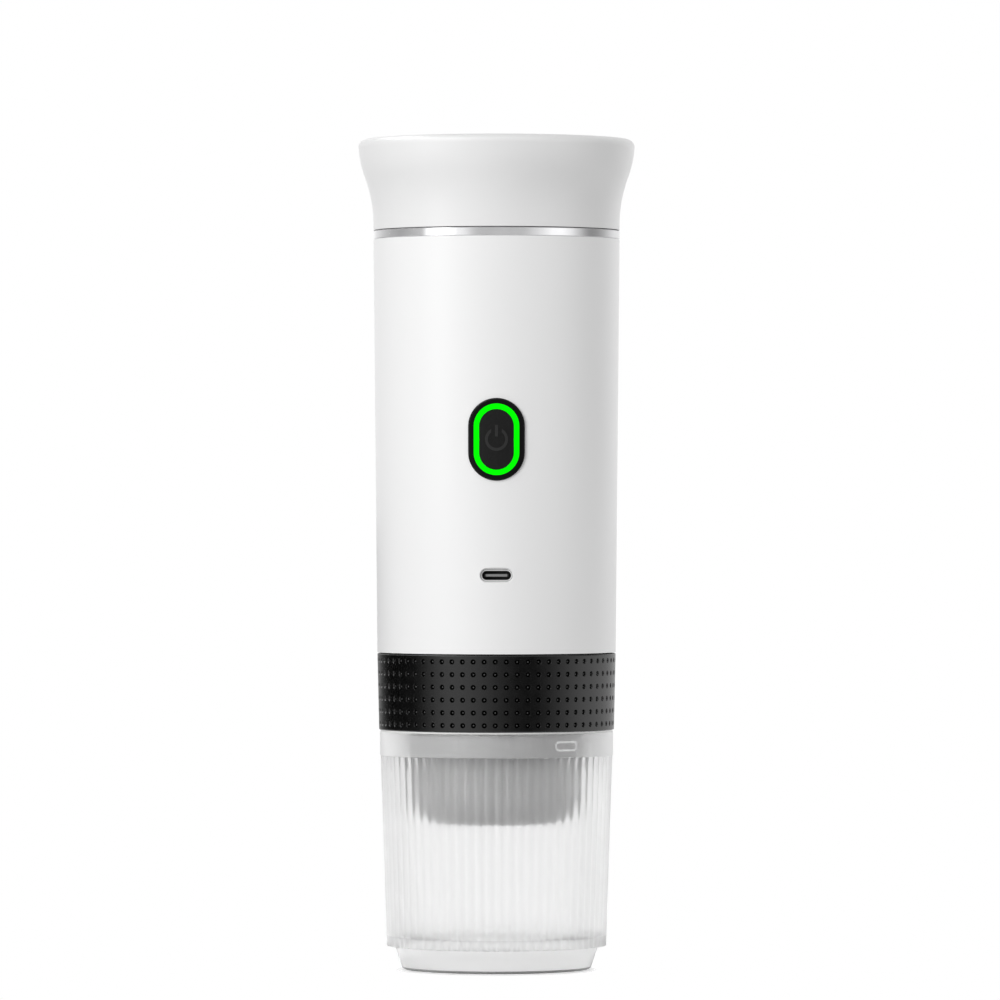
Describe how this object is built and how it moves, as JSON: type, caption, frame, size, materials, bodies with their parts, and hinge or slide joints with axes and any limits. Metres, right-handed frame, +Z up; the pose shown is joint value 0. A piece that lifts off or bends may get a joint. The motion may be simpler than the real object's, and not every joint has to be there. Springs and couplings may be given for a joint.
{
  "type": "portable espresso maker",
  "caption": "Portable battery espresso maker: flared screw lid over a heated tank, white body with lit button, dimpled collar with brew chamber, clear fluted cup.",
  "frame": {"origin": "centre of the foot, on the surface that the cup stands on", "axes": "+Z up along the body's axis, -Y out of the power button, +X to the right of the button"},
  "size_m": [0.08, 0.08, 0.24],
  "materials": {
    "white_plastic": "gloss",
    "inner_white": "satin",
    "chrome": "polished",
    "black_rubber": "soft-touch satin",
    "black_rubber_inner": "satin",
    "clear_plastic": "clear",
    "grey_plastic": "satin",
    "black_plastic": "satin",
    "gloss_black": "gloss",
    "button_grey": "satin",
    "green_light": "lit",
    "steel": "brushed",
    "nickel": "satin",
    "brass": "machined",
    "white_silicone": "satin",
    "red_silicone": "satin",
    "amber_film": "satin",
    "fibre": "felted",
    "dark_ceramic": "satin",
    "frame_plastic": "satin",
    "cell_wrap": "satin",
    "magnet": "sintered",
    "board_green": "solder mask",
    "wire_red": "satin"
  },
  "bodies": {
    "housing": {"battery_cells": "cell_wrap", "board_parts": "black_plastic", "body_shell": "white_plastic", "brew_head": "black_plastic", "button_bezel": "gloss_black", "cell_straps": "nickel", "control_board": "board_green", "frame_base": "frame_plastic", "frame_top": "frame_plastic", "gear_housing": "frame_plastic", "head_fitting": "brass", "head_gasket": "red_silicone", "heater_band": "amber_film", "idler_pin": "steel", "light_ring": "green_light", "motor_bearings": "brass", "motor_can": "steel", "motor_endbell": "black_plastic", "motor_magnets": "magnet", "motor_screws": "steel", "pressure_hose": "white_silicone", "pump_cover": "steel", "pump_damper": "white_silicone", "pump_fittings": "brass", "pump_screws": "steel", "shaft_seal": "black_rubber_inner", "shower_screen": "steel", "shower_screw": "steel", "status_leds": "green_light", "suction_hose": "white_silicone", "tact_switch": "black_plastic", "tank_filter": "steel", "tank_gasket": "white_silicone", "tank_insulation": "fibre", "tank_neck": "black_plastic", "tank_pad": "white_silicone", "temperature_probe": "black_plastic", "thermostat": "dark_ceramic", "threaded_inserts": "brass", "tie_bolts": "steel", "trim_ring": "chrome", "usb_port": "steel", "water_tank": "steel", "wire_leads": "wire_red"},
    "lid_ring": {"lid_seal": "white_silicone"},
    "lid": {"lid_shell": "white_plastic", "lid_liner": "inner_white", "vent_valve": "white_silicone"},
    "collar_ring": {"cup_seal": "white_silicone"},
    "brew_unit": {"grip_collar": "black_rubber", "brew_chamber": "grey_plastic", "outlet_nozzle": "steel"},
    "basket": {"coffee_basket": "steel"},
    "cup": {"cup": "clear_plastic"},
    "button": {"power_button": "button_grey", "switch_plunger": "white_plastic"},
    "rotor": {"motor_rotor": "steel", "drive_gear": "steel"},
    "idler": {"idler_gear": "steel"}
  },
  "joints": [
    {"name": "lid_lift", "type": "slide", "parent": "housing", "child": "lid_ring", "axis": [0, 0, 1], "range_m": [0, 0.008]},
    {"name": "lid_turn", "type": "hinge", "parent": "lid_ring", "child": "lid", "pos_m": [0, 0, 0.2127], "axis": [0, 0, 1], "range_deg": [0, 240]},
    {"name": "collar_drop", "type": "slide", "parent": "housing", "child": "collar_ring", "axis": [0, 0, -1], "range_m": [0, 0.0105]},
    {"name": "collar_turn", "type": "hinge", "parent": "collar_ring", "child": "brew_unit", "pos_m": [0, 0, 0.0804], "axis": [0, 0, -1], "range_deg": [0, 315]},
    {"name": "basket_lift", "type": "slide", "parent": "brew_unit", "child": "basket", "axis": [0, 0, 1], "range_m": [0, 0.006]},
    {"name": "cup_pull", "type": "slide", "parent": "brew_unit", "child": "cup", "axis": [0, 0, -1], "range_m": [0, 0.07]},
    {"name": "button_press", "type": "slide", "parent": "housing", "child": "button", "axis": [0, 1, 0], "range_m": [0, 0.0006], "stiffness_N_per_m": 1500, "springref_m": -0.0008},
    {"name": "motor_spin", "type": "hinge", "parent": "housing", "child": "rotor", "pos_m": [0, -0.008, 0.13], "axis": [0, 0, 1], "continuous": true},
    {"name": "idler_spin", "type": "hinge", "parent": "housing", "child": "idler", "pos_m": [0, 0.00045, 0.106], "axis": [0, 0, 1], "continuous": true}
  ],
  "couplings": [
    {"joint": "lid_lift", "follows": "lid_turn", "m_per_rad": 0.0019099},
    {"joint": "collar_drop", "follows": "collar_turn", "m_per_rad": 0.0019099},
    {"joint": "basket_lift", "follows": "collar_turn", "m_per_rad": 0.0010913},
    {"joint": "idler_spin", "follows": "motor_spin", "ratio": -1}
  ]
}
